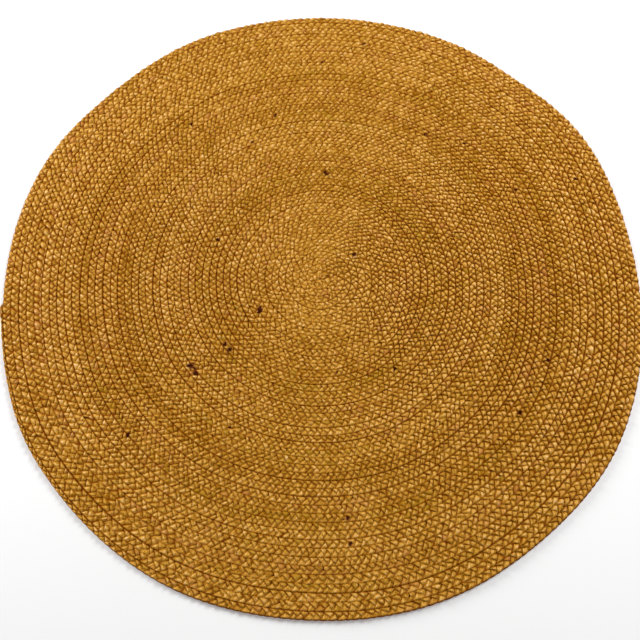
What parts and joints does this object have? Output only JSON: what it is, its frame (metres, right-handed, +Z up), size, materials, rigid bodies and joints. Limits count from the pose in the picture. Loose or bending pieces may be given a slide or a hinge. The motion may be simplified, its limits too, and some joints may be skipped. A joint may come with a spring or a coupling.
{
  "type": "round braided jute rug",
  "caption": "Flat round rug of plaited jute, one braid coiled from the middle and sewn round to round, with ribbed rounds and an uneven rim.",
  "frame": {"origin": "middle of the outline's bounding box, on the floor that the rug lies on", "axes": "+Z up out of the rug's ribbed face; -Y towards the side that is nearest in the picture; the braid's end is tucked in at -X"},
  "size_m": [1.1954, 1.1992, 0.009],
  "materials": {
    "jute": "dry matt plaited jute fibre with a faint silky shine on the stitches"
  },
  "bodies": {
    "root": {"braided_rug": "jute"}
  },
  "joints": []
}
